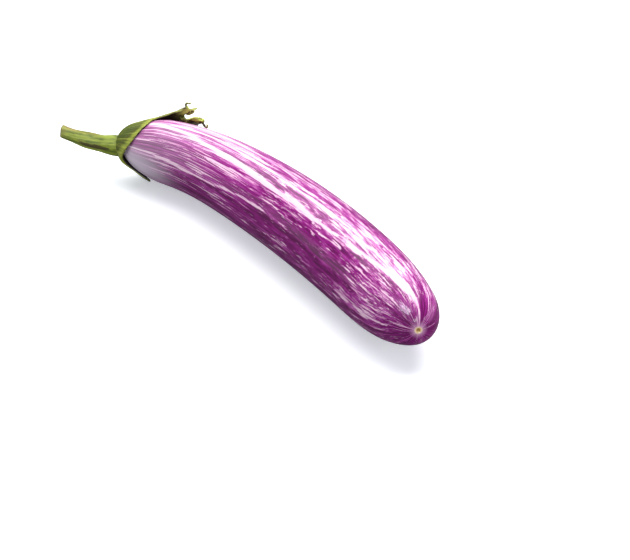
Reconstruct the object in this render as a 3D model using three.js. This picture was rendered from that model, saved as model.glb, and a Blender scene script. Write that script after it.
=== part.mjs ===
// A long striped eggplant, as picked, lying on its side on a table: the fruit, the calyx that
// caps its neck, and the stem it was cut by. Millimetres, +Z up, the table at z = 0. The fruit
// runs from the neck at -X to the blossom end at +X and bends round in the table's plane.
import * as THREE from "three";

// The fruit: a soft cylinder that fattens towards the blossom end.
const FRUIT_LENGTH = 231.5; // along its bent centreline
const NECK_RADIUS = 15.7;
const BELLY_RADIUS = 18.5;
const BELLY_AT = 0.82; // share of the length where the fruit stops fattening
const WAIST_SWELL = 3.2; // extra radius where the waist swells most
const SWELL_AT = 0.43; // share of the length where that is
const NECK_DOME = 29; // length of the rounded shoulder under the calyx
const BLOSSOM_DOME = 49; // length of the rounded blossom end
const BLOSSOM_BLUNTNESS = 2.5; // 2 is an ellipse, more is blunter
const SCAR_RADIUS = 2.2; // the corky dimple that the flower left
const SCAR_DEPTH = 0.7;

// Its bend, as turns of the centreline's heading, clockwise seen from above.
const START_HEADING = 34.7;
const GENTLE_BEND = 23.7; // spread over the whole length
const CROOK_BEND = 26; // the neck's crook
const CROOK_END = 0.33; // share of the length where the crook is over
const TIP_HOOK = 19.5; // the last turn towards the blossom scar
const TIP_HOOK_START = 0.91;

// How it lies: its weight presses a narrow flat into the belly, and both ends ride clear.
const FLAT_DEPTH = 0.4;
const NECK_LIFT = 4.9;
const NECK_LIFT_END = 0.3; // share of the length where the lift has died out
const TIP_LIFT = 4.7;
const TIP_LIFT_START = 0.84;

// The calyx: a leathery cap with pointed lobes, thick at its crown and thin at its rim.
const CALYX_GAP = 0.3; // air between the cap and the fruit's skin
const CROWN_THICKNESS = 2.6;
const RIM_THICKNESS = 1;
const CROWN_END = 11; // how far along the fruit the cap has thinned to its rim's thickness
const CROWN_SEAT = 1.5; // height of the flat that carries the stem, above the fruit's neck
// Its rim: how far the cap reaches along the fruit at angles round the neck, in degrees. At 0 the
// cap is on top, at 90 it faces the hollow of the bend. High values are lobes, low ones notches.
const RIM = [
  [-68, 39],
  [-54, 27],
  [-38, 37],
  [-22, 19.5],
  [4, 16.5],
  [30, 13],
  [60, 9],
  [97, 5.8],
  [116, 6.6],
  [130, 9.5],
  [145, 21],
  [162, 12],
  [188, 18],
  [208, 10],
  [232, 29],
  [260, 16],
];
// Where the cap stands off the skin, its dried lobes most of all: the middle of each such place
// and half its width, the stations where it lets go and ends, and how high it ends.
const SPRUNG = [
  { at: -68, halfWidth: 16, letGo: 20, end: 39, height: 8 },
  { at: -38, halfWidth: 20, letGo: 13, end: 37, height: 6.5 },
  { at: 97, halfWidth: 45, letGo: 0, end: 5.8, height: 1.2 },
  { at: 145, halfWidth: 15, letGo: 12, end: 21, height: 0.6 },
  { at: 232, halfWidth: 24, letGo: 15, end: 29, height: 3.5 },
];

// The stem: a ridged stalk that leaves the crown level, then turns up a little to its cut.
const STEM_LENGTH = 33.3;
const STEM_GAP = 0.3; // air between the stem's foot and the crown
const STEM_DROP = 1.2; // how far the foot sits below the middle of the crown
const STEM_ASIDE = 0.9; // and how far towards the hollow of the bend
const STEM_FOOT_RADIUS = 5.6;
const STEM_WAIST_RADIUS = 4.5;
const STEM_WAIST_AT = 0.45; // share of its length where the foot's flare has died out
const STEM_CUT_RADIUS = 3.3;
const STEM_RIDGES = 5;
const RIDGE_HEIGHT = 0.25;
const STEM_START_RISE = -3; // degrees above level
const STEM_END_RISE = 15;
const STEM_SIDE_TURN = -4; // degrees, towards the hollow of the bend

// How finely the faces are cut.
const FRUIT_ROUND = 48;
const FRUIT_ALONG = 56;
const CALYX_ROUND = 84;
const CALYX_ALONG = 24;
const CALYX_CROWDING = 1.6; // above 1, its rings crowd towards the crown
const STEM_ROUND = 20;
const STEM_ALONG = 14;
const SPINE_STEPS = 920;

const { clamp, degToRad, euclideanModulo, lerp, radToDeg, smoothstep } = THREE.MathUtils;
const UP = new THREE.Vector3(0, 0, 1);

// The radius the fruit would have with no domes at its ends.
function bodyRadius(station) {
  const share = clamp(station / FRUIT_LENGTH, 0, 1);
  const fattening = smoothstep(share, 0, BELLY_AT);
  const swelling = Math.sin(Math.PI * share ** (Math.log(0.5) / Math.log(SWELL_AT)));
  return lerp(NECK_RADIUS, BELLY_RADIUS, fattening) + WAIST_SWELL * swelling;
}

// How much a dome of the given bluntness narrows the fruit, at a share of its length from its foot.
function domeShare(share, bluntness) {
  const inside = clamp(share, 0, 1);
  return (1 - inside ** bluntness) ** (1 / bluntness);
}

function fruitRadius(station) {
  const neck = domeShare(1 - station / NECK_DOME, 2);
  const blossom = domeShare(1 - (FRUIT_LENGTH - station) / BLOSSOM_DOME, BLOSSOM_BLUNTNESS);
  return bodyRadius(station) * neck * blossom;
}

// The centreline's height: the belly rests on the table, and the two ends lift away from it.
function spineHeight(station) {
  const share = station / FRUIT_LENGTH;
  const neckLifted = clamp(1 - share / NECK_LIFT_END, 0, 1);
  const tipLifted = clamp((share - TIP_LIFT_START) / (1 - TIP_LIFT_START), 0, 1);
  const lift = NECK_LIFT * neckLifted ** 2 + TIP_LIFT * tipLifted ** 2;
  return bodyRadius(station) - FLAT_DEPTH + lift;
}

function spineHeading(station) {
  const share = station / FRUIT_LENGTH;
  const turned =
    GENTLE_BEND * share +
    CROOK_BEND * smoothstep(share, 0, CROOK_END) +
    TIP_HOOK * smoothstep(share, TIP_HOOK_START, 1);
  return degToRad(START_HEADING - turned);
}

// The centreline, stepped along its heading from the neck to the blossom end.
function makeSpine() {
  const step = FRUIT_LENGTH / SPINE_STEPS;
  const points = [new THREE.Vector3(0, 0, spineHeight(0))];
  for (let i = 1; i <= SPINE_STEPS; i += 1) {
    const heading = spineHeading((i - 0.5) * step);
    const before = points[i - 1];
    points.push(
      new THREE.Vector3(
        before.x + step * Math.cos(heading),
        before.y + step * Math.sin(heading),
        spineHeight(i * step),
      ),
    );
  }
  return points;
}

const spine = makeSpine();

// The centreline's point at a station, with its directions along, up and to the bend's hollow side.
function spineFrame(station) {
  const place = clamp(station / FRUIT_LENGTH, 0, 1) * SPINE_STEPS;
  const i = Math.min(Math.floor(place), SPINE_STEPS - 1);
  const along = spine[i + 1].clone().sub(spine[i]).normalize();
  const side = along.clone().cross(UP).normalize();
  return {
    point: spine[i].clone().lerp(spine[i + 1], place - i),
    along,
    side,
    up: side.clone().cross(along),
  };
}

// The direction straight out from the centreline at an angle round it, 0 being up.
function outward(frame, angle) {
  return frame.up
    .clone()
    .multiplyScalar(Math.cos(angle))
    .addScaledVector(frame.side, Math.sin(angle));
}

// A point on the fruit's skin, before the belly is pressed flat.
function skinPoint(station, angle) {
  const frame = spineFrame(station);
  return frame.point.addScaledVector(outward(frame, angle), fruitRadius(station));
}

// The skin's own normal there.
function skinNormal(station, angle) {
  const frame = spineFrame(station);
  const low = Math.max(station - 0.05, 0);
  const slope = (fruitRadius(low + 0.1) - fruitRadius(low)) / 0.1;
  return outward(frame, angle).addScaledVector(frame.along, -slope).normalize();
}

// Moves every vertex of a sphere: place(around, along) gets shares from 0 to 1, pole to pole.
function shapeSphere(round, along, place) {
  const geometry = new THREE.SphereGeometry(1, round, along);
  const { position, uv } = geometry.attributes;
  for (let i = 0; i < position.count; i += 1) {
    const point = place(uv.getX(i), 1 - uv.getY(i));
    position.setXYZ(i, point.x, point.y, point.z);
  }
  geometry.computeVertexNormals();
  return geometry;
}

// The fruit, its rings closest together over the two domes.
function makeFruit() {
  return shapeSphere(FRUIT_ROUND, FRUIT_ALONG, (around, along) => {
    const station = (FRUIT_LENGTH * (1 - Math.cos(Math.PI * along))) / 2;
    const point = skinPoint(station, -2 * Math.PI * around);
    const fromScar = fruitRadius(station) / SCAR_RADIUS;
    if (station > FRUIT_LENGTH / 2 && fromScar < 1) {
      point.addScaledVector(spineFrame(station).along, -SCAR_DEPTH * (1 - fromScar ** 2));
    }
    point.z = Math.max(point.z, 0);
    return point;
  });
}

// The rim's reach at an angle in degrees: a smooth closed line through the listed points.
const rimAngles = [...RIM, ...RIM].map(([angle], i) => (i < RIM.length ? angle : angle + 360));
const rimReaches = [...RIM, ...RIM].map(([, reach]) => reach);
const rimLine = new THREE.CubicInterpolant(rimAngles, rimReaches, 1);

function rimReach(degrees) {
  return rimLine.evaluate(euclideanModulo(degrees - 30, 360) + 30)[0];
}

// How far the cap stands off the skin at a station and an angle in degrees.
function springHeight(station, degrees) {
  let height = 0;
  for (const place of SPRUNG) {
    const apart = euclideanModulo(degrees - place.at + 180, 360) - 180;
    const across = Math.max(1 - (apart / place.halfWidth) ** 2, 0);
    height += place.height * across * smoothstep(station, place.letGo, place.end);
  }
  return height;
}

// A point on the cap's outside or inside, at a share of the way from its crown to its rim.
function capPoint(angle, share, outside) {
  const degrees = radToDeg(angle);
  const station = rimReach(degrees) * share ** CALYX_CROWDING;
  const normal = station > 0 ? skinNormal(station, angle) : spineFrame(0).along.negate();
  const thickness = lerp(CROWN_THICKNESS, RIM_THICKNESS, smoothstep(station, 0, CROWN_END));
  const raised = CALYX_GAP + springHeight(station, degrees) + (outside ? thickness : 0);
  return skinPoint(station, angle).addScaledVector(normal, raised);
}

// How far a point lies beyond the fruit's neck, towards the stem.
function beyondNeck(point) {
  const neck = spineFrame(0);
  return neck.point.clone().sub(point).dot(neck.along);
}

// The calyx: over the cap's outside from crown to rim, then back up its inside.
function makeCalyx() {
  const neck = spineFrame(0);
  return shapeSphere(CALYX_ROUND, CALYX_ALONG, (around, along) => {
    const outside = along <= 0.5;
    const share = outside ? 2 * along : 2 * (1 - along);
    const point = capPoint(-2 * Math.PI * around, share, outside);
    return point.addScaledVector(neck.along, Math.max(beyondNeck(point) - CROWN_SEAT, 0));
  });
}

// The stem's centreline: it leaves the crown against the fruit's heading and rises to the cut.
function makeStemPath() {
  const neck = spineFrame(0);
  const foot = neck.point
    .clone()
    .addScaledVector(neck.along, -(CROWN_SEAT + STEM_GAP))
    .addScaledVector(neck.up, -STEM_DROP)
    .addScaledVector(neck.side, STEM_ASIDE);
  const level = neck.along.clone().negate().setZ(0).normalize();
  const points = [foot];
  const steps = STEM_ALONG * 4;
  for (let i = 1; i <= steps; i += 1) {
    const share = (i - 0.5) / steps;
    const rise = degToRad(lerp(STEM_START_RISE, STEM_END_RISE, share));
    const turn = degToRad(STEM_SIDE_TURN) * share;
    const step = level
      .clone()
      .applyAxisAngle(UP, turn)
      .multiplyScalar(Math.cos(rise))
      .addScaledVector(UP, Math.sin(rise));
    points.push(points[i - 1].clone().addScaledVector(step, STEM_LENGTH / steps));
  }
  return new THREE.CatmullRomCurve3(points);
}

// The stem: a cylinder bent along that path, narrowing to its cut, with soft ridges.
function makeStem() {
  const geometry = new THREE.CylinderGeometry(1, 1, 1, STEM_ROUND, STEM_ALONG);
  const path = makeStemPath();
  const neckAlong = spineFrame(0).along;
  const { position } = geometry.attributes;
  for (let i = 0; i < position.count; i += 1) {
    const share = clamp(0.5 - position.getY(i), 0, 1);
    const angle = Math.atan2(position.getZ(i), position.getX(i));
    const distance = Math.hypot(position.getX(i), position.getZ(i));
    const waist = lerp(STEM_FOOT_RADIUS, STEM_WAIST_RADIUS, smoothstep(share, 0, STEM_WAIST_AT));
    const round = lerp(waist, STEM_CUT_RADIUS, smoothstep(share, STEM_WAIST_AT, 1));
    const radius = round + RIDGE_HEIGHT * Math.cos(STEM_RIDGES * angle);
    const along = path.getTangentAt(share);
    const side = along.clone().cross(UP).normalize();
    const up = side.clone().cross(along);
    const point = path
      .getPointAt(share)
      .addScaledVector(up, distance * radius * Math.cos(angle))
      .addScaledVector(side, distance * radius * Math.sin(angle));
    const sunk = CROWN_SEAT + STEM_GAP - beyondNeck(point);
    if (share === 0 || sunk > 0) point.addScaledVector(neckAlong, -sunk);
    position.setXYZ(i, point.x, point.y, point.z);
  }
  geometry.computeVertexNormals();
  return geometry;
}

function makeMesh(name, geometry, color, roughness) {
  const material = new THREE.MeshStandardMaterial({ color, roughness, metalness: 0 });
  const mesh = new THREE.Mesh(geometry, material);
  mesh.name = name;
  return mesh;
}

const eggplant = new THREE.Group();
eggplant.add(makeMesh("fruit", makeFruit(), 0x8a3f86, 0.3));
eggplant.add(makeMesh("calyx", makeCalyx(), 0x6f8a35, 0.6));
eggplant.add(makeMesh("stem", makeStem(), 0x88a03c, 0.6));

// Stand the whole over the origin: the middle of its box, on the table.
const middle = new THREE.Box3().setFromObject(eggplant, true).getCenter(new THREE.Vector3());
eggplant.position.set(-middle.x, -middle.y, 0);

export default eggplant;
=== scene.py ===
import math

import bpy
import numpy as np
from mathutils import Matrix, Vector


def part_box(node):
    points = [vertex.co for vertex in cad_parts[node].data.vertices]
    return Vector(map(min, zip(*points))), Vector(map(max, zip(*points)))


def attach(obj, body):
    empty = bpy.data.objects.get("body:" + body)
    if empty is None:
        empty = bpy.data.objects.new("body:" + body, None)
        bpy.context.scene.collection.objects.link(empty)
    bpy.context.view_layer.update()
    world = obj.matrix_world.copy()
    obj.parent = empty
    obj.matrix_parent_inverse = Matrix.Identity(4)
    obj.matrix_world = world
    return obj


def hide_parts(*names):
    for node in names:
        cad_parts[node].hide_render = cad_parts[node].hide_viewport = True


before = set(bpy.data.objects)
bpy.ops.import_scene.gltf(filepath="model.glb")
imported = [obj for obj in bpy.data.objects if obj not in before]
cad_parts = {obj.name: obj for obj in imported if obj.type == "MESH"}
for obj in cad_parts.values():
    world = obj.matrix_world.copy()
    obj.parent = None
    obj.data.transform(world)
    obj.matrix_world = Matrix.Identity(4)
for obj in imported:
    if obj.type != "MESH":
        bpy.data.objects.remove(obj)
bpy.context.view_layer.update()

# ---------------------------------------------------------------- camera
# The viewer stands on the hollow side of the bend and looks down on the table through a longish
# lens, with the stem at the far left and the blossom end near and to the right.
VIEW_AZIMUTH = math.radians(47)
VIEW_ELEVATION = math.radians(38)
VIEW_DISTANCE = 0.6125
AIM = Vector((0.0462, 0.0012, 0.0))
back = Vector((
    math.sin(VIEW_AZIMUTH) * math.cos(VIEW_ELEVATION),
    -math.cos(VIEW_AZIMUTH) * math.cos(VIEW_ELEVATION),
    math.sin(VIEW_ELEVATION),
))
camera = bpy.data.objects.new("camera", bpy.data.cameras.new("camera"))
camera.data.lens = 70
camera.data.sensor_width = 36
camera.location = AIM + back * VIEW_DISTANCE
camera.rotation_mode = "QUATERNION"
camera.rotation_quaternion = (-back).to_track_quat("-Z", "Y")
bpy.context.scene.collection.objects.link(camera)
bpy.context.scene.camera = camera

# ---------------------------------------------------------------- studio
# A white tabletop in a white tent. One wide soft light hangs above and behind the fruit, a long low
# one stands on its far side, and two weak ones stand near the viewer. One more only makes the peel
# shine at its two ends, and the tent fills in the rest.
TENT_LIGHT = 0.25
TENT_SEEN_EXTRA = 0.42  # how much brighter the tent looks than the light that it gives
TABLE_REACH = 3.0
TABLE_GLOW = 0.38
bpy.context.scene.view_settings.view_transform = "Standard"


def add_node(tree, kind, inputs=None, **settings):
    """A new node with its settings, and its inputs set to values or joined to other sockets."""
    node = tree.nodes.new(kind)
    for name, value in settings.items():
        setattr(node, name, value)
    for name, value in (inputs or {}).items():
        if isinstance(value, bpy.types.NodeSocket):
            tree.links.new(value, node.inputs[name])
        else:
            node.inputs[name].default_value = value
    return node


def calculate(tree, operation, *values):
    """The socket of a calculation with values or other sockets."""
    return add_node(tree, "ShaderNodeMath", dict(enumerate(values)), operation=operation).outputs[0]


def mix_colors(tree, share, under, over):
    """The socket of one colour laid over another, by a share."""
    inputs = {0: share, 6: under, 7: over}
    return add_node(tree, "ShaderNodeMix", inputs, data_type="RGBA").outputs[2]


tent = bpy.data.worlds.new("tent")
tent.use_nodes = True
seen = add_node(tent.node_tree, "ShaderNodeLightPath").outputs["Is Camera Ray"]
tent_strength = calculate(tent.node_tree, "MULTIPLY_ADD", seen, TENT_SEEN_EXTRA, TENT_LIGHT)
background = tent.node_tree.nodes["Background"]
background.inputs["Color"].default_value = (0.93, 0.96, 1.0, 1)
tent.node_tree.links.new(tent_strength, background.inputs["Strength"])
bpy.context.scene.world = tent


def softbox(name, place, target, size, power, color, shine_only=False):
    """A flat soft light that faces its target; a shine_only one shows in the shine alone."""
    light = bpy.data.lights.new(name, "AREA")
    light.shape = "RECTANGLE"
    light.size, light.size_y = size
    light.energy = power
    light.color = color
    lamp = bpy.data.objects.new(name, light)
    lamp.location = place
    lamp.rotation_mode = "QUATERNION"
    lamp.rotation_quaternion = (Vector(target) - Vector(place)).to_track_quat("-Z", "Y")
    lamp.visible_diffuse = not shine_only
    bpy.context.scene.collection.objects.link(lamp)


softbox("overhead_softbox", (-0.30, 0.36, 0.85), (0, 0, 0), (1.3, 1.0), 19, (1.0, 0.985, 0.97))
softbox("front_softbox", (0.78, -0.42, 0.34), (0.12, 0, 0.02), (0.2, 0.2), 2.2, (0.96, 0.97, 1.0))
softbox("left_softbox", (-0.45, -0.85, 0.28), (0, 0, 0.02), (0.8, 0.4), 1.8, (0.96, 0.98, 1.0))
softbox("far_softbox", (0.75, 0.75, 0.22), (0.05, 0, 0.02), (1.2, 0.4), 4.5, (0.97, 0.98, 1.0))
softbox(
    "shine_softbox", (0.21, -0.52, 0.77), (0.11, 0, 0.03), (0.36, 0.36), 10, (0.88, 0.94, 1.0),
    shine_only=True,
)

# The table looks white and lit, but it gives little light back, so that the underside of the fruit
# keeps the deep tone that it has among other fruits.
table_mesh = bpy.data.meshes.new("tabletop")
corners = [(x * TABLE_REACH, y * TABLE_REACH, 0) for x, y in ((-1, -1), (1, -1), (1, 1), (-1, 1))]
table_mesh.from_pydata(corners, [], [(0, 1, 2, 3)])
tabletop = bpy.data.objects.new("tabletop", table_mesh)
bpy.context.scene.collection.objects.link(tabletop)
laminate = bpy.data.materials.new("white_laminate")
laminate.use_nodes = True
tree = laminate.node_tree
shader = tree.nodes["Principled BSDF"]
seen = add_node(tree, "ShaderNodeLightPath").outputs["Is Camera Ray"]
table_color = mix_colors(tree, seen, (0.14, 0.145, 0.155, 1), (0.9, 0.92, 0.95, 1))
tree.links.new(table_color, shader.inputs["Base Color"])
tree.links.new(calculate(tree, "MULTIPLY", seen, TABLE_GLOW), shader.inputs["Emission Strength"])
shader.inputs["Emission Color"].default_value = (0.93, 0.96, 1, 1)
shader.inputs["Roughness"].default_value = 0.6
table_mesh.materials.append(laminate)

# ---------------------------------------------------------------- fruit
# The fruit itself: one bent, fleshy berry with a thin, waxy, glossy peel. It fattens towards the
# blossom end, where the flower dropped off and left a corky dimple, and its weight presses a
# narrow flat into the belly that it lies on. Metres; stations run along the bent centreline.
FRUIT_LENGTH = 0.2315
NECK_RADIUS = 0.0157
BELLY_RADIUS = 0.0185
BELLY_AT = 0.82
WAIST_SWELL = 0.0032
SWELL_AT = 0.43
NECK_DOME = 0.029
BLOSSOM_DOME = 0.049
BLOSSOM_BLUNTNESS = 2.5
START_HEADING = math.radians(34.7)
GENTLE_BEND = math.radians(23.7)
CROOK_BEND = math.radians(26)
CROOK_END = 0.33
TIP_HOOK = math.radians(19.5)
TIP_HOOK_START = 0.91
FLAT_DEPTH = 0.0004
NECK_LIFT = 0.0049
NECK_LIFT_END = 0.3
TIP_LIFT = 0.0047
TIP_LIFT_START = 0.84
SCAR_RADIUS = 0.0013  # the cork's edge, where a low ring stands up round the dimple
SCAR_DEPTH = 0.0007
SCAR_RING = 0.00016
SCAR_CROWDING = 0.06
FRUIT_ROUND = 192
FRUIT_ALONG = 400


def smooth(share):
    inside = np.clip(share, 0, 1)
    return inside * inside * (3 - 2 * inside)


def body_radius(station):
    share = np.clip(station / FRUIT_LENGTH, 0, 1)
    fattened = NECK_RADIUS + (BELLY_RADIUS - NECK_RADIUS) * smooth(share / BELLY_AT)
    return fattened + WAIST_SWELL * np.sin(np.pi * share ** (math.log(0.5) / math.log(SWELL_AT)))


def fruit_radius(station):
    neck = np.clip(1 - station / NECK_DOME, 0, 1)
    blossom = np.clip(1 - (FRUIT_LENGTH - station) / BLOSSOM_DOME, 0, 1)
    neck_share = np.sqrt(1 - neck**2)
    blossom_share = (1 - blossom**BLOSSOM_BLUNTNESS) ** (1 / BLOSSOM_BLUNTNESS)
    return body_radius(station) * neck_share * blossom_share


# The centreline in fine steps, from the neck at the origin, then its directions at each step.
steps = np.linspace(0, FRUIT_LENGTH, 4601)
share = steps / FRUIT_LENGTH
heading = START_HEADING - (
    GENTLE_BEND * share
    + CROOK_BEND * smooth(share / CROOK_END)
    + TIP_HOOK * smooth((share - TIP_HOOK_START) / (1 - TIP_HOOK_START))
)
lift = NECK_LIFT * np.clip(1 - share / NECK_LIFT_END, 0, 1) ** 2
lift += TIP_LIFT * np.clip((share - TIP_LIFT_START) / (1 - TIP_LIFT_START), 0, 1) ** 2
between = (heading[1:] + heading[:-1]) / 2
spine = np.zeros((len(steps), 3))
spine[1:, 0] = np.cumsum(np.cos(between)) * steps[1]
spine[1:, 1] = np.cumsum(np.sin(between)) * steps[1]
spine[:, 2] = body_radius(steps) - FLAT_DEPTH + lift
spine_along = np.gradient(spine, axis=0)
spine_along /= np.linalg.norm(spine_along, axis=1)[:, None]
spine_side = np.cross(spine_along, (0, 0, 1))
spine_side /= np.linalg.norm(spine_side, axis=1)[:, None]
spine_up = np.cross(spine_side, spine_along)


def at_station(values, station):
    """A value of the centreline, read between its steps."""
    return np.stack([np.interp(station, steps, values[:, i]) for i in range(3)], axis=-1)


def outward(station, angle):
    """Straight out from the centreline, at an angle round it: 0 is up, 90 degrees the hollow side."""
    up, side = at_station(spine_up, station), at_station(spine_side, station)
    return np.cos(angle)[..., None] * up + np.sin(angle)[..., None] * side


def skin_point(station, angle):
    out = outward(station, angle)
    return at_station(spine, station) + fruit_radius(station)[..., None] * out


def grid_piece(name, grids, bands=((0, 1),)):
    """A mesh through grids of points, each grid's rows going round once and closed by a point at
    both ends. Its own map has u round once and v from end to end, each grid in its band of v."""
    vertices, faces, corner_uv = [], [], []
    for points, (low, high) in zip(grids, bands):
        rows, around = points.shape[:2]
        first = len(vertices)
        vertices += points.reshape(-1, 3).tolist()
        vertices += [points[0].mean(0).tolist(), points[-1].mean(0).tolist()]
        poles = first + rows * around, first + rows * around + 1
        level = low + (high - low) * (np.arange(rows) + 1) / (rows + 1)
        for r in range(rows - 1):
            for c in range(around):
                this, after = first + r * around + c, first + r * around + (c + 1) % around
                faces.append((this, after, after + around, this + around))
                left, right = c / around, (c + 1) / around
                corner_uv += [(left, level[r]), (right, level[r])]
                corner_uv += [(right, level[r + 1]), (left, level[r + 1])]
        last = first + (rows - 1) * around
        for c in range(around):
            after, middle = (c + 1) % around, (c + 0.5) / around
            left, right = c / around, (c + 1) / around
            faces.append((poles[0], first + after, first + c))
            corner_uv += [(middle, low), (right, level[0]), (left, level[0])]
            faces.append((poles[1], last + c, last + after))
            corner_uv += [(middle, high), (left, level[-1]), (right, level[-1])]
    mesh = bpy.data.meshes.new(name)
    mesh.from_pydata(vertices, [], faces)
    mesh.uv_layers.new(name="OFBake").data.foreach_set("uv", np.ravel(corner_uv))
    mesh.shade_smooth()
    piece = bpy.data.objects.new(name, mesh)
    bpy.context.scene.collection.objects.link(piece)
    return piece


def add_attribute(piece, name, grids):
    """Values for every vertex of a grid piece; the end points take those of the row beside them."""
    values = []
    for grid in grids:
        values += [grid.reshape(-1, *grid.shape[2:]), grid[:1].mean(1), grid[-1:].mean(1)]
    values = np.concatenate(values).astype(np.float32)
    kind = "FLOAT_VECTOR" if values.ndim == 2 else "FLOAT"
    layer = piece.data.attributes.new(name, kind, "POINT")
    layer.data.foreach_set("vector" if values.ndim == 2 else "value", values.ravel())


# Rings are spaced evenly over the skin's profile, and closer together near the scar. They start
# at the belly, so that the map's seam is underneath.
fine = FRUIT_LENGTH * (1 - np.cos(np.pi * np.linspace(0, 1, 6001))) / 2
profile = np.concatenate([[0], np.cumsum(np.hypot(np.diff(fine), np.diff(fruit_radius(fine))))])
profile_share = np.linspace(0, 1, FRUIT_ALONG + 2)[1:-1]
profile_share = profile_share + SCAR_CROWDING * profile_share * np.sin(np.pi * profile_share) ** 2
stations = np.interp(profile_share * profile[-1], profile, fine)
angles = np.linspace(0, 2 * np.pi, FRUIT_ROUND, endpoint=False) + np.pi
ring_station, ring_angle = np.meshgrid(stations, angles, indexing="ij")
skin = skin_point(ring_station, ring_angle)

# The scar: a dimple inside a low ring of cork.
from_scar = fruit_radius(ring_station) / SCAR_RADIUS
near_tip = ring_station > FRUIT_LENGTH / 2
ring = SCAR_RING * np.exp(-(((from_scar - 1.15) / 0.3) ** 2))
risen = near_tip * (ring - SCAR_DEPTH * np.clip(1 - from_scar**2, 0, 1))
skin += risen[..., None] * at_station(spine_along, ring_station)
skin[..., 2] = np.maximum(skin[..., 2], 0)

cad_low, cad_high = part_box("fruit")
PLACE = np.array(cad_low + cad_high) / 2 - (skin.min((0, 1)) + skin.max((0, 1))) / 2
PLACE[2] = 0
fruit = grid_piece("eggplant_fruit", [skin + PLACE])

# How the streaks run, in millimetres: round the fruit at its mean radius, and along it, where
# they are drawn out long near the neck and break up into short flames near the blossom end.
MEAN_RADIUS_MM = 18
LONG_STREAK = 0.018
SHORT_STREAK = 0.085
BREAK_UP = (0.06, 0.19)
fine_stretch = LONG_STREAK + (SHORT_STREAK - LONG_STREAK) * smooth(
    (fine - BREAK_UP[0]) / (BREAK_UP[1] - BREAK_UP[0])
)
fine_flow = np.concatenate([[0], np.cumsum(np.diff(fine) * 1000 * fine_stretch[1:])])
flow = np.stack([
    MEAN_RADIUS_MM * np.cos(ring_angle),
    MEAN_RADIUS_MM * np.sin(ring_angle),
    np.interp(ring_station, fine, fine_flow),
], axis=-1)

# Where the peel is pale: stripes that run along it, and broader zones. A stripe goes through
# (station in millimetres, angle in degrees) points and has a half width in millimetres, the
# stations between which it shows, and a strength. A zone has its middle, its reach along the fruit
# and round it, and a strength.
STRIPES = [
    (
        [(0, 1), (20, 2.5), (50, 14), (75, 22), (110, 26), (150, 27), (175, 23), (195, 16), (212, 8),
         (231, -8)],
        1.2, (0, 262), 0.20,
    ),
    ([(0, 63), (25, 64), (50, 70), (75, 70), (100, 62), (125, 59), (145, 61)], 0.45, (-10, 160), 0.22),
    ([(0, 18), (50, 30), (75, 36), (120, 38)], 0.5, (30, 120), 0.12),
    ([(20, -8), (80, 2), (130, 8), (190, 0)], 0.7, (20, 190), 0.12),
    ([(130, 84), (170, 84), (215, 86)], 0.6, (130, 235), 0.10),
    ([(130, 100), (170, 103), (215, 100)], 0.7, (150, 240), 0.10),
]
ZONES = [
    (60, -25, 60, 26, 0.11),
    (195, -12, 45, 30, 0.05),
    (8, 105, 24, 50, 0.03),
    (70, 36, 60, 40, 0.07),
    (120, 10, 120, 20, 0.03),
    (214, 4, 20, 34, 0.06),
    # The next two darken the shaded near side and the underside: painted shade.
    (150, 58, 50, 22, -0.08),
    (150, 110, 100, 32, -0.03),
    (208, 66, 22, 26, 0.075),
    (0, 0, 10, 400, 0.03),
    (231, 0, 9, 400, -0.05),
]
station_mm, degrees = ring_station * 1000, np.degrees(ring_angle) % 360


def apart(angle_a, angle_b):
    return (angle_a - angle_b + 180) % 360 - 180


def zone_off(place, course, along, around):
    """How far each vertex is from a zone's middle, squared, and 1 at the zone's reach."""
    return ((station_mm - place) / along) ** 2 + (apart(degrees, course) / around) ** 2


pale = np.zeros_like(station_mm)
for path, half_width, shows, strength in STRIPES:
    place, course = zip(*path)
    off = apart(degrees, np.interp(station_mm, place, course)) * np.pi / 180 * MEAN_RADIUS_MM
    ends = smooth((station_mm - shows[0]) / 20) * smooth((shows[1] - station_mm) / 30)
    pale = pale + strength * ends * np.exp(-((off / half_width) ** 2))
for *zone, strength in ZONES:
    pale = pale + strength * np.exp(-zone_off(*zone))
# Under the calyx's valley the peel is grown over with a smooth lilac bloom, partly a painted sheen;
# towards the top a thinner painted sheen.
full_bloom_and_sheen = 0.85 * np.exp(-(zone_off(8, 102, 28, 40) ** 1.3))
thin_painted_sheen = 0.17 * np.exp(-zone_off(25, 45, 32, 38))
bloom_and_sheen = np.maximum(full_bloom_and_sheen, thin_painted_sheen)
add_attribute(fruit, "bloom_and_sheen", [bloom_and_sheen])
add_attribute(fruit, "flow", [flow])
add_attribute(fruit, "pale", [pale])
add_attribute(fruit, "from_scar", [np.where(near_tip, from_scar, 99)])


def attribute(tree, name, output="Fac"):
    """The socket of what add_attribute gave: a value, or with output "Vector" a vector."""
    return add_node(tree, "ShaderNodeAttribute", attribute_name=name).outputs[output]


def add_noise(tree, flow_socket, scale, detail, roughness):
    inputs = {"Vector": flow_socket, "Scale": scale, "Detail": detail, "Roughness": roughness}
    return add_node(tree, "ShaderNodeTexNoise", inputs)


def map_range(tree, value, low, high, to_low=0.0, to_high=1.0, kind="SMOOTHSTEP"):
    """The socket of a value's place between low and high, carried over to another range."""
    inputs = {"Value": value, "From Min": low, "From Max": high, "To Min": to_low, "To Max": to_high}
    return add_node(tree, "ShaderNodeMapRange", inputs, interpolation_type=kind).outputs[0]


def color_ramp(tree, value, stops):
    """The socket of a colour that follows a value through (value, colour) stops."""
    ramp = add_node(tree, "ShaderNodeValToRGB", {"Fac": value})
    elements = ramp.color_ramp.elements
    elements[0].position, elements[0].color = stops[0]
    elements[1].position, elements[1].color = stops[-1]
    for position, color in stops[1:-1]:
        elements.new(position).color = color
    return ramp.outputs["Color"]


peel = bpy.data.materials.new("striped_peel")
peel.use_nodes = True
tree = peel.node_tree
shader = tree.nodes["Principled BSDF"]
flow_socket = attribute(tree, "flow", "Vector")
scar_socket = attribute(tree, "from_scar")
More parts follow.
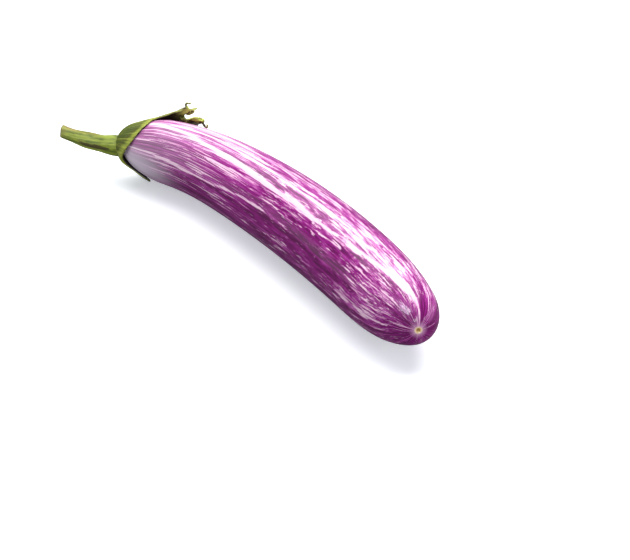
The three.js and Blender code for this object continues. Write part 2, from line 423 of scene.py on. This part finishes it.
# The streaks wander sideways a little.
wander_noise = add_noise(tree, flow_socket, 0.6, 3.0, 0.55)
wandering = add_node(
    tree, "ShaderNodeVectorMath",
    {0: wander_noise.outputs["Color"], 1: (2.2, 2.2, 0.0), 2: flow_socket}, operation="MULTIPLY_ADD",
).outputs[0]
# Threads are the finest streaks, flames the broad ones, and tones are the peel's own patches.
threads = add_noise(tree, wandering, 2.1, 3.0, 0.6).outputs["Fac"]
flames = add_noise(tree, wandering, 0.95, 4.0, 0.68).outputs["Fac"]
tones = add_noise(tree, wandering, 0.9, 4.0, 0.65).outputs["Fac"]
# They gather in clusters, and between the clusters the peel is darker.
clusters = add_noise(tree, flow_socket, 0.26, 1.0, 0.5).outputs["Fac"]
clustered = map_range(tree, clusters, 0.2, 0.8, -0.075, 0.075, "LINEAR")
# The pale attribute also carries the painted shade of the near side and the underside.
paleness = calculate(tree, "ADD", attribute(tree, "pale"), clustered)
thread_level = calculate(tree, "MULTIPLY_ADD", paleness, 0.8, threads)
thread_mask = map_range(tree, thread_level, 0.54, 0.67, 0.0, 0.70)
flame_level = calculate(tree, "ADD", flames, paleness)
flame_mask = map_range(tree, flame_level, 0.575, 0.622)
streak_mask = calculate(tree, "MAXIMUM", thread_mask, flame_mask)
tone = calculate(tree, "MULTIPLY_ADD", paleness, 0.9, tones)
purple = color_ramp(tree, tone, [
    (0.38, (0.120, 0.001, 0.082, 1)),
    (0.53, (0.28, 0.006, 0.205, 1)),
    (0.76, (0.55, 0.10, 0.45, 1)),
])
streak_color = color_ramp(tree, streak_mask, [
    (0.0, (0.46, 0.015, 0.35, 1)),
    (0.35, (0.68, 0.09, 0.53, 1)),
    (0.65, (0.88, 0.34, 0.72, 1)),
    (1.0, (0.97, 0.66, 0.84, 1)),
])
striped = mix_colors(tree, streak_mask, purple, streak_color)
# The bloom under the calyx's valley, with its painted sheen.
bloomed_and_sheened = mix_colors(tree, attribute(tree, "bloom_and_sheen"), striped, (0.90, 0.82, 0.92, 1))
# The peel is pale round the scar.
scar_glow = map_range(tree, scar_socket, 1.0, 3.8, 0.5, 0.0)
glowing = mix_colors(tree, scar_glow, bloomed_and_sheened, (1.0, 0.54, 0.86, 1))
# Cork in the scar: brown in the dimple, cream on its ring.
cork = map_range(tree, scar_socket, 0.3, 1.3, kind="LINEAR")
cork_color = color_ramp(tree, cork, [
    (0.0, (0.09, 0.045, 0.008, 1)),
    (0.45, (0.80, 0.48, 0.14, 1)),
    (0.8, (1.0, 0.82, 0.55, 1)),
])
cork_mask = map_range(tree, scar_socket, 0.95, 1.8, 1.0, 0.0)
peel_color = mix_colors(tree, cork_mask, glowing, cork_color)
tree.links.new(peel_color, shader.inputs["Base Color"])
shader.inputs["Roughness"].default_value = 0.36
shader.inputs["Specular IOR Level"].default_value = 0.15
shader.inputs["Coat Weight"].default_value = 0.28
shader.inputs["Coat Roughness"].default_value = 0.10
fruit.data.materials.append(peel)
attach(fruit, "root")
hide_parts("fruit")

# ---------------------------------------------------------------- calyx
# The calyx: the flower's leathery cap, grown onto the fruit's neck and fleshy at its crown. Its
# ribbed lobes clasp the skin, and the far ones have dried, sprung off and curled at their tips.
CALYX_GAP = 0.0003
CROWN_THICKNESS = 0.0026
RIM_THICKNESS = 0.0010
CROWN_END = 0.011
CROWN_SEAT = 0.0015
# The rim: angles in degrees round the neck, and how many millimetres the cap reaches there.
RIM = [
    (-68, 36.5), (-54, 28.5), (-38, 35.5), (-22, 19.5), (4, 16.5), (30, 13), (60, 9), (97, 5.8),
    (116, 6.6), (130, 9.5), (145, 21), (162, 12), (188, 18), (208, 10), (232, 29), (260, 16),
]
# Where the cap stands off the skin: the middle angle and half width of each place in degrees, the
# stations where it lets go and ends, and how high it ends, in millimetres.
SPRUNG = [
    (-68, 16, 20, 39, 8),
    (-38, 20, 13, 37, 6.5),
    (97, 45, 0, 5.8, 1.2),
    (145, 15, 12, 21, 0.6),
    (232, 24, 15, 29, 3.5),
]
RIB_HEIGHT = 0.00018
RIB_START = 0.006
NICK_DEPTH = 0.00012
LONG_LOBE_NICKS = 0.0007
LONG_LOBE_START = 0.022
LONG_LOBE_SPAN = 0.012
FOLD_HEIGHT = 0.0012
WITHER_START = 0.023
WITHER_END = 0.033
# The dried lobes roll up across: the middle and half width in degrees, and the height of the roll
# in millimetres. As they roll up they lean over to one side.
CURLS = [(-68, 16, 2.2), (-38, 18, 2.2)]
CURL_LEAN = 0.0009
# One lobe, low on the hollow side, is painted dark towards its point as shade: its middle and half
# width in degrees, and the station where the painted shade starts and how soon it is full.
SHADED_LOBE_AT, SHADED_LOBE_WIDTH = 147, 14
LOBE_SHADE_START, LOBE_SHADE_SPAN = 0.013, 0.006
# The blotches of the green are longer along the cap than round it: the flow goes by this much
# round it, and by this much for each metre along it.
CAP_FLOW_ROUND, CAP_FLOW_ALONG = 12, 150
CALYX_ROUND = 400
CALYX_OUTSIDE, CALYX_RIM, CALYX_INSIDE = 84, 5, 50
FIRST_ROW = 0.03  # the first row's share of the way from the middle of the crown to the rim
ROW_CROWDING = 1.6
SLOPE_STEP = 0.0001  # over which the skin's slope is measured


def rim_reach(degrees):
    """A smooth closed line through the rim's points, in metres."""
    angle = np.array([p[0] for p in RIM], float)
    reach = np.array([p[1] for p in RIM], float) / 1000
    angle = np.concatenate([angle - 360, angle, angle + 360])
    reach = np.tile(reach, 3)
    slope = np.gradient(reach, angle)
    slope[1:-1] = (reach[2:] - reach[:-2]) / (angle[2:] - angle[:-2])
    i = np.searchsorted(angle, degrees, side="right") - 1
    span = angle[i + 1] - angle[i]
    t = (degrees - angle[i]) / span
    bend = t * (1 - t) * span * ((1 - t) * slope[i] - t * slope[i + 1])
    return reach[i] + (reach[i + 1] - reach[i]) * t * t * (3 - 2 * t) + bend


def skin_normal(station, angle):
    low = np.maximum(station - SLOPE_STEP / 2, 0)
    slope = (fruit_radius(low + SLOPE_STEP) - fruit_radius(low)) / SLOPE_STEP
    normal = outward(station, angle) - slope[..., None] * at_station(spine_along, station)
    return normal / np.linalg.norm(normal, axis=-1, keepdims=True)


def cap_point(station, angle, level):
    """A point of the cap; level 0 is its inside and 1 its outside."""
    turned = np.degrees(angle)
    thickness = RIM_THICKNESS + (CROWN_THICKNESS - RIM_THICKNESS) * (1 - smooth(station / CROWN_END))
    raised = CALYX_GAP + level * thickness
    for at, half_width, let_go, end, height in SPRUNG:
        across = np.clip(1 - (apart(turned, at) / half_width) ** 2, 0, 1)
        raised = raised + height / 1000 * across * smooth((station * 1000 - let_go) / (end - let_go))
    return skin_point(station, angle) + raised[..., None] * skin_normal(station, angle)


cap_angles = np.linspace(0, 2 * np.pi, CALYX_ROUND, endpoint=False)
cap_degrees = np.degrees(cap_angles) % 360
# The rim is nicked all round, and most at the long lobes.
long_lobe = smooth((rim_reach(cap_degrees) - LONG_LOBE_START) / LONG_LOBE_SPAN)
nicks = np.sin(cap_degrees * 0.55 + 1) + 0.7 * np.sin(cap_degrees * 1.13 + 2)
nicks = nicks + 0.5 * np.sin(cap_degrees * 2.3)
nick_depth = NICK_DEPTH + LONG_LOBE_NICKS * long_lobe
reach = rim_reach(cap_degrees) - RIM_THICKNESS / 2 + nick_depth * nicks
# Rows run from the crown down the outside, round the rim and back up the inside.
down = np.linspace(FIRST_ROW, 1, CALYX_OUTSIDE)[:, None] ** ROW_CROWDING
turn = np.linspace(np.pi / 2, -np.pi / 2, CALYX_RIM + 2)[1:-1, None]
up = np.linspace(1, FIRST_ROW, CALYX_INSIDE)[:, None] ** ROW_CROWDING
cap_station = np.concatenate([down * reach, reach + RIM_THICKNESS / 2 * np.cos(turn), up * reach])
cap_level = np.concatenate([
    np.ones((CALYX_OUTSIDE, CALYX_ROUND)),
    np.repeat(0.5 + 0.5 * np.sin(turn), CALYX_ROUND, 1),
    np.zeros((CALYX_INSIDE, CALYX_ROUND)),
])
cap_angle = np.broadcast_to(cap_angles, cap_station.shape)
cap = cap_point(cap_station, cap_angle, cap_level)

# Its ribs stand up on the outside, and the dried lobes are puckered and rolled at their tips.
cap_normal = skin_normal(cap_station, cap_angle)
ribs = 0.55 * np.cos(20 * np.radians(cap_degrees) + 0.6)
ribs = ribs + 0.45 * np.cos(47 * np.radians(cap_degrees))
rib_fade = smooth(cap_station / RIB_START) * np.clip(cap_level, 0, 1)
cap = cap + (RIB_HEIGHT * ribs * rib_fade)[..., None] * cap_normal
wither = smooth((cap_station - WITHER_START) / (WITHER_END - WITHER_START))
folds = np.sin(21 * np.radians(cap_degrees) + cap_station * 260)
folds = folds + 0.6 * np.sin(39 * np.radians(cap_degrees) - cap_station * 420)
cap = cap + (FOLD_HEIGHT * folds * wither)[..., None] * cap_normal
for at, half_width, curl in CURLS:
    across = apart(np.degrees(cap_angle), at) / half_width
    held = wither * smooth(1.6 - np.abs(across))
    cap = cap + (curl / 1000 * held * across**2)[..., None] * cap_normal
    cap = cap - (CURL_LEAN * held * across)[..., None] * at_station(spine_side, cap_station)
# The crown is flat where the stem joins it.
beyond = (spine[0] - cap) @ spine_along[0]
cap = cap + np.maximum(beyond - CROWN_SEAT, 0)[..., None] * spine_along[0]

# The lobes' dried points, curled like tendrils. Each starts from an angle and a station of the
# cap and goes through (along, up) points in millimetres.
TENDRILS = [
    (
        -40, 33.5,
        [(-1.2, -0.9), (-0.6, 0.2), (-1.9, 1.5), (-2.9, 3.0), (-2.2, 4.5), (-0.6, 4.6), (0.6, 5.6)],
    ),
    (
        -67, 34.5,
        [(-1.0, 0.8), (0.6, -0.2), (1.5, -2.0), (2.6, -3.6), (3.9, -3.9), (4.4, -2.6), (3.6, -1.9)],
    ),
    (-56, 28.5, [(-1.5, 0.2), (0.6, 0.6), (1.6, -0.4), (2.6, 0.3)]),
]
TENDRIL_RADII = (0.0009, 0.0004)
TENDRIL_ROUND, TENDRIL_ALONG = 10, 36
ACROSS_TENDRILS = (0.31, -0.95, 0.02)  # no tendril runs this way


def tube(points, radii, around, along):
    """Rings round a smooth line through points, its radius going from the first to the last."""
    at = np.linspace(0, len(points) - 1, along)
    i = np.clip(at.astype(int), 0, len(points) - 2)
    t = (at - i)[:, None]
    slopes = np.gradient(points, axis=0)
    a, b, m, n = points[i], points[i + 1], slopes[i], slopes[i + 1]
    line = a + (b - a) * t * t * (3 - 2 * t) + t * (1 - t) * ((1 - t) * m - t * n)
    ahead = np.gradient(line, axis=0)
    ahead /= np.linalg.norm(ahead, axis=1)[:, None]
    aside = np.cross(ahead, ACROSS_TENDRILS)
    aside /= np.linalg.norm(aside, axis=1)[:, None]
    above = np.cross(aside, ahead)
    angle = np.linspace(0, 2 * np.pi, around, endpoint=False)[None, :, None]
    radius = np.interp(at, [0, len(points) - 1], radii)[:, None, None]
    return line[:, None] + radius * (np.cos(angle) * above[:, None] + np.sin(angle) * aside[:, None])


tendrils = []
for angle, station, path in TENDRILS:
    root = cap_point(np.array([station / 1000]), np.radians(np.array([float(angle)])), 0.5)[0]
    along = at_station(spine_along, np.array([station / 1000]))[0]
    path = [root + (ahead * along + np.array((0, 0, height))) / 1000 for ahead, height in path]
    tendrils.append(tube(np.array(path), TENDRIL_RADII, TENDRIL_ROUND, TENDRIL_ALONG))

grids = [cap + PLACE] + [tendril + PLACE for tendril in tendrils]
calyx = grid_piece("eggplant_calyx", grids, [(0, 0.82), (0.83, 0.88), (0.89, 0.94), (0.95, 1)])
cap_flow = np.stack([
    CAP_FLOW_ROUND * np.cos(cap_angle),
    CAP_FLOW_ROUND * np.sin(cap_angle),
    CAP_FLOW_ALONG * cap_station,
], axis=-1)
add_attribute(calyx, "flow", [cap_flow] + [tendril * 1000 for tendril in tendrils])
# The inside is painted dark as shade, and so is the lobe low on the hollow side.
shaded_lobe = np.exp(-((apart(np.degrees(cap_angle), SHADED_LOBE_AT) / SHADED_LOBE_WIDTH) ** 2))
shaded_lobe = smooth((cap_station - LOBE_SHADE_START) / LOBE_SHADE_SPAN) * shaded_lobe
dark = np.maximum(smooth((0.75 - cap_level) / 0.5), 0.85 * shaded_lobe)
from_rim = (reach - cap_station) * 1000
# The tendrils are dry all over, too far from the rim to have its seam, and without painted shade.
for name, on_cap, on_tendrils in (("dry", wither, 1), ("from_rim", from_rim, 9), ("dark", dark, 0)):
    plain = [np.full(tendril.shape[:2], float(on_tendrils)) for tendril in tendrils]
    add_attribute(calyx, name, [on_cap] + plain)

# Both the calyx and the stem are green with darker and duller blotches, drawn out along them.
mottle = bpy.data.node_groups.new("green_mottle", "ShaderNodeTree")
for socket, kind in (("Flow", "Vector"), ("Dark", "Color"), ("Light", "Color"), ("Spread", "Float")):
    mottle.interface.new_socket(socket, in_out="INPUT", socket_type="NodeSocket" + kind)
mottle.interface.new_socket("Color", in_out="OUTPUT", socket_type="NodeSocketColor")
mottle.interface.new_socket("Roughness", in_out="OUTPUT", socket_type="NodeSocketFloat")
group_in = add_node(mottle, "NodeGroupInput").outputs
blotch_noise = add_noise(mottle, group_in["Flow"], 0.40, 5.0, 0.62).outputs["Fac"]
blotched = calculate(mottle, "ADD", blotch_noise, group_in["Spread"])
blotch_mask = map_range(mottle, blotched, 0.35, 0.68)
blotch_color = mix_colors(mottle, blotch_mask, group_in["Dark"], group_in["Light"])
dullness = map_range(mottle, blotched, 0.3, 0.7, 0.62, 0.45, "LINEAR")
add_node(mottle, "NodeGroupOutput", {"Color": blotch_color, "Roughness": dullness})

leathery = bpy.data.materials.new("leathery_calyx")
leathery.use_nodes = True
tree = leathery.node_tree
shader = tree.nodes["Principled BSDF"]
flow_socket = attribute(tree, "flow", "Vector")
dry_socket = attribute(tree, "dry")
rim_socket = attribute(tree, "from_rim")
# The green is paler towards the rim, and a brown seam runs along the rim, a little way in.
rim_pale = map_range(tree, rim_socket, 0.3, 3.0, 0.22, -0.04, "LINEAR")
green = add_node(
    tree, "ShaderNodeGroup",
    {
        "Flow": flow_socket, "Spread": rim_pale,
        "Dark": (0.070, 0.100, 0.006, 1), "Light": (0.33, 0.38, 0.045, 1),
    },
    node_tree=mottle,
)
seam_place = map_range(tree, rim_socket, 0.0, 8.0, kind="LINEAR")
seam = color_ramp(tree, seam_place, [
    (0.40, (0, 0, 0, 1)),
    (0.47, (0.6, 0.6, 0.6, 1)),
    (0.58, (0, 0, 0, 1)),
])
seamed = mix_colors(tree, seam, green.outputs["Color"], (0.13, 0.085, 0.020, 1))
husk_noise = add_noise(tree, flow_socket, 0.65, 4.0, 0.6).outputs["Fac"]
husk = color_ramp(tree, husk_noise, [
    (0.42, (0.035, 0.018, 0.006, 1)),
    (0.53, (0.60, 0.66, 0.12, 1)),
])
dried_color = mix_colors(tree, dry_socket, seamed, husk)
# The painted shade of the inside and of the low lobe hardly shows where the calyx is dry.
not_dry = calculate(tree, "MULTIPLY_ADD", dry_socket, -0.85, 1.0)
painted_shade_mask = calculate(tree, "MULTIPLY", attribute(tree, "dark"), not_dry)
calyx_color = mix_colors(tree, painted_shade_mask, dried_color, (0.030, 0.018, 0.006, 1))
tree.links.new(calyx_color, shader.inputs["Base Color"])
tree.links.new(green.outputs["Roughness"], shader.inputs["Roughness"])
shader.inputs["Specular IOR Level"].default_value = 0.35
calyx.data.materials.append(leathery)
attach(calyx, "root")
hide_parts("calyx")

# ---------------------------------------------------------------- stem
# The stem: the ridged green stalk that the fruit hung from, flared where it joins the calyx. It
# was snipped off with shears, so its end is a dry, slanting cut, and it has brown scuffs and painted
# shade along its hollow side.
STEM_LENGTH = 0.0341
STEM_ROOTED = 0.0005  # how deep the foot is grown into the crown
STEM_DROP = 0.0012
STEM_ASIDE = 0.0009
STEM_FOOT_RADIUS = 0.0056
STEM_WAIST_RADIUS = 0.0045
STEM_WAIST_AT = 0.45
STEM_CUT_RADIUS = 0.0033
STEM_RIDGES = 5
RIDGE_HEIGHT = 0.00030
FIBRE_HEIGHT = 0.00006
FINE_FIBRE_HEIGHT = 0.00004
LUMP_HEIGHT = 0.00022
CUT_SLANT = 0.0009
STEM_FLOW_ROUND, STEM_FLOW_ALONG = 6, 7  # as on the cap, but along its whole length
# The cut face from its rolled edge in to the woody core that stands up in its middle: shares of
# the radius, and heights in metres.
CUT_PROFILE = [
    (0.985, 0.0002), (0.95, 0.00032), (0.86, 0.00034), (0.7, 0.0002), (0.5, 0.00012),
    (0.34, 0.00025), (0.26, 0.0007), (0.18, 0.0009), (0.08, 0.00095),
]
STEM_START_RISE = math.radians(-3)
STEM_END_RISE = math.radians(15)
STEM_SIDE_TURN = math.radians(-4)
STEM_ROUND, STEM_ALONG = 96, 130

stem_share = np.linspace(0, 1, STEM_ALONG)
rise = STEM_START_RISE + (STEM_END_RISE - STEM_START_RISE) * stem_share
level_heading = math.atan2(-spine_along[0, 1], -spine_along[0, 0]) + STEM_SIDE_TURN * stem_share
stem_along = np.stack([
    np.cos(rise) * np.cos(level_heading), np.cos(rise) * np.sin(level_heading), np.sin(rise)
], axis=-1)
foot = spine[0] - (CROWN_SEAT - STEM_ROOTED) * spine_along[0]
foot = foot - STEM_DROP * spine_up[0] + STEM_ASIDE * spine_side[0]
stem_line = np.zeros((STEM_ALONG, 3))
stem_line[1:] = np.cumsum((stem_along[1:] + stem_along[:-1]) / 2, axis=0)
stem_line = foot + stem_line * STEM_LENGTH / (STEM_ALONG - 1)
stem_side = np.cross(stem_along, (0, 0, 1))
stem_side /= np.linalg.norm(stem_side, axis=1)[:, None]
stem_up = np.cross(stem_side, stem_along)
waist = STEM_FOOT_RADIUS + (STEM_WAIST_RADIUS - STEM_FOOT_RADIUS) * smooth(stem_share / STEM_WAIST_AT)
narrowing = smooth((stem_share - STEM_WAIST_AT) / (1 - STEM_WAIST_AT))
stem_radius = waist + (STEM_CUT_RADIUS - waist) * narrowing

# Rings along it, then the cut face as rings that shrink to its middle.
angle = np.linspace(0, 2 * np.pi, STEM_ROUND, endpoint=False)[None, :]
share_grid = stem_share[:, None]
twisted = angle + 0.5 * share_grid
ridges = RIDGE_HEIGHT * np.cos(STEM_RIDGES * twisted) * (1 + 0.6 * np.sin(2 * angle + 1))
fibres = FIBRE_HEIGHT * np.sin(17 * twisted + 3 * share_grid)
fibres = fibres + FINE_FIBRE_HEIGHT * np.sin(31 * twisted)
lumps = LUMP_HEIGHT * np.sin(9 * share_grid + 2 * angle) * np.sin(4 * share_grid + 1)
shape = stem_radius[:, None] + ridges + fibres + lumps
stem = stem_line[:, None] + shape[..., None] * (
    np.cos(angle)[..., None] * stem_up[:, None] + np.sin(angle)[..., None] * stem_side[:, None]
)
# The foot is flat, and no other ring goes deeper into the crown.
seat = (spine[0] - stem) @ spine_along[0]
short = CROWN_SEAT - STEM_ROOTED - seat
short[1:] = np.maximum(short[1:], 0)
stem = stem - short[..., None] * spine_along[0]
# The cut slants.
slant = CUT_SLANT * np.cos(angle - 0.5)
stem = stem + (smooth((share_grid - 0.8) / 0.2) * slant)[..., None] * stem_along[:, None]
cut_middle = stem[-1].mean(0)
inward, raised = np.array(CUT_PROFILE).T
cut = cut_middle + inward[:, None, None] * (stem[-1] - cut_middle)
cut = cut + raised[:, None, None] * stem_along[-1]
stalk = grid_piece("eggplant_stem", [np.concatenate([stem, cut]) + PLACE])
stalk_share = np.concatenate([
    np.broadcast_to(share_grid, shape.shape),
    np.repeat(1.01 + 0.1 * (1 - inward)[:, None], STEM_ROUND, 1),
])
stalk_angle = np.broadcast_to(angle, stalk_share.shape)
stalk_flow = np.stack([
    STEM_FLOW_ROUND * np.cos(stalk_angle),
    STEM_FLOW_ROUND * np.sin(stalk_angle),
    STEM_FLOW_ALONG * stalk_share,
], axis=-1)
add_attribute(stalk, "flow", [stalk_flow])
# A dark line of painted shade runs along the hollow side, and the top and the cut end are browned.
painted_groove_shade = np.exp(-((apart(np.degrees(stalk_angle), 270) / 15) ** 2))
painted_groove_shade = painted_groove_shade * smooth((stalk_share - 0.08) / 0.15) * smooth((0.75 - stalk_share) / 0.25)
topside = np.exp(-((apart(np.degrees(stalk_angle), 18) / 34) ** 2))
topside = topside * smooth((stalk_share - 0.2) / 0.3)
cut_end = 0.5 * smooth((stalk_share - 0.8) / 0.18)
add_attribute(stalk, "scuffed_and_shaded", [painted_groove_shade])
add_attribute(stalk, "browned", [np.maximum(topside, cut_end)])
add_attribute(stalk, "cut", [smooth((stalk_share - 0.985) / 0.02)])

stalky = bpy.data.materials.new("ridged_stalk")
stalky.use_nodes = True
tree = stalky.node_tree
shader = tree.nodes["Principled BSDF"]
flow_socket = attribute(tree, "flow", "Vector")
green = add_node(
    tree, "ShaderNodeGroup",
    {
        "Flow": flow_socket, "Spread": 0.0,
        "Dark": (0.12, 0.17, 0.008, 1), "Light": (0.42, 0.52, 0.045, 1),
    },
    node_tree=mottle,
)
scuff_noise = add_noise(tree, flow_socket, 0.8, 4.0, 0.6).outputs["Fac"]
# The dark brown goes on the scuffs and on the painted shade along the hollow side.
scuff_and_shade_level = calculate(tree, "MULTIPLY_ADD", attribute(tree, "scuffed_and_shaded"), 0.42, scuff_noise)
scuff_and_shade_mask = map_range(tree, scuff_and_shade_level, 0.55, 0.76, 0.0, 0.92)
browning = map_range(tree, scuff_noise, 0.42, 0.6, 0.2, 0.9, "LINEAR")
brown_mask = calculate(tree, "MULTIPLY", browning, attribute(tree, "browned"))
browned = mix_colors(tree, brown_mask, green.outputs["Color"], (0.30, 0.19, 0.04, 1))
scuffed_and_shaded = mix_colors(tree, scuff_and_shade_mask, browned, (0.070, 0.045, 0.012, 1))
stem_color = mix_colors(tree, attribute(tree, "cut"), scuffed_and_shaded, (0.10, 0.075, 0.030, 1))
tree.links.new(stem_color, shader.inputs["Base Color"])
tree.links.new(green.outputs["Roughness"], shader.inputs["Roughness"])
shader.inputs["Specular IOR Level"].default_value = 0.4
stalk.data.materials.append(stalky)
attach(stalk, "root")
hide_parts("stem")
